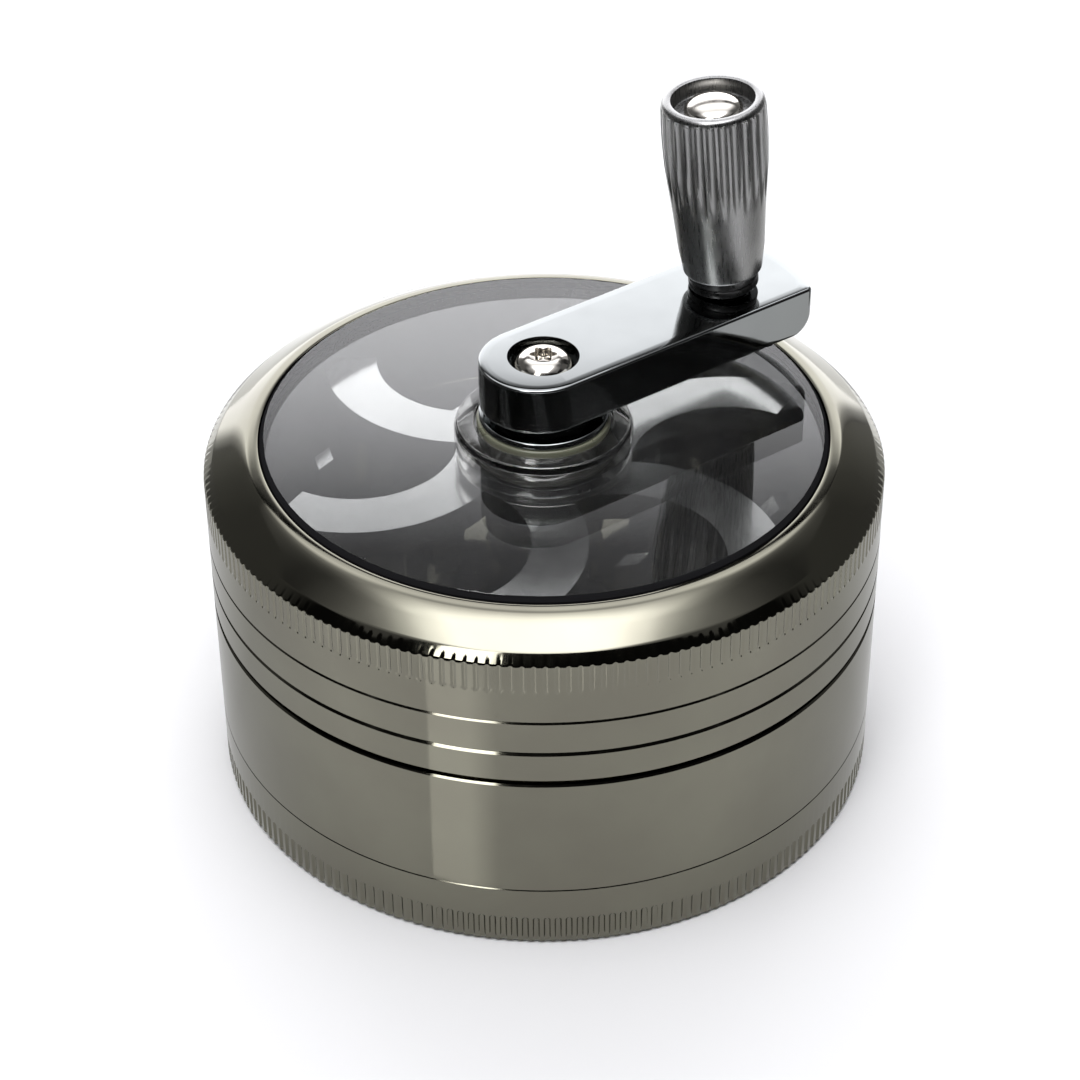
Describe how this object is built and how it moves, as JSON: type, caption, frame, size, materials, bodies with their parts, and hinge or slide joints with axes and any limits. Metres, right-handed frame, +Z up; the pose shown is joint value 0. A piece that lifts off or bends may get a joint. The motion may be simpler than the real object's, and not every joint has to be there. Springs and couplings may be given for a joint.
{
  "type": "herb grinder",
  "caption": "Round screwed-together herb grinder with a clear window lid, a flat crank arm and a fluted spinning knob.",
  "frame": {"origin": "the centre of the flat underside of the tray", "axes": "+Z up along the crank's axis, -Y towards the camera of the picture, +X to its right"},
  "size_m": [0.063, 0.063, 0.0628],
  "materials": {
    "black_nickel": "polished black nickel plate on cast zinc",
    "bright_steel": "polished",
    "dark_steel": "satin",
    "clear_acrylic": "clear, polished",
    "nylon": "slightly see-through",
    "magnet": "nickel plate",
    "net": "woven"
  },
  "bodies": {
    "base": {"tray": "black_nickel"},
    "sieve": {"sieve_case": "black_nickel", "sieve_mesh": "net", "sieve_clamp_ring": "bright_steel"},
    "chamber": {"grinding_case": "black_nickel", "chamber_magnet": "magnet", "lid_friction_ring": "nylon"},
    "lid": {"lid_ring": "black_nickel", "window": "clear_acrylic", "window_retaining_ring": "dark_steel", "shaft_bushing": "dark_steel", "nylon_washer": "nylon"},
    "crank": {"crank_arm": "black_nickel", "crank_screw": "black_nickel", "steel_washer": "bright_steel", "drive_shaft": "bright_steel", "rotor": "black_nickel", "rotor_washer": "nylon", "rotor_screw": "bright_steel", "rotor_magnet": "magnet", "knob_spindle": "black_nickel", "knob_washer": "bright_steel"},
    "grip": {"knob": "black_nickel"}
  },
  "joints": [
    {"name": "sieve_lift", "type": "slide", "parent": "base", "child": "sieve", "axis": [0, 0, 1], "range_m": [0, 0.015]},
    {"name": "chamber_lift", "type": "slide", "parent": "sieve", "child": "chamber", "axis": [0, 0, 1], "range_m": [0, 0.02]},
    {"name": "lid_lift", "type": "slide", "parent": "chamber", "child": "lid", "axis": [0, 0, 1], "range_m": [0, 0.025]},
    {"name": "crank_turn", "type": "hinge", "parent": "lid", "child": "crank", "pos_m": [0, 0, 0.0371], "axis": [0, 0, 1], "continuous": true},
    {"name": "knob_spin", "type": "hinge", "parent": "crank", "child": "grip", "pos_m": [0.01701, 0.01214, 0.04257], "axis": [-0.0811, 0, 0.9967], "continuous": true}
  ]
}
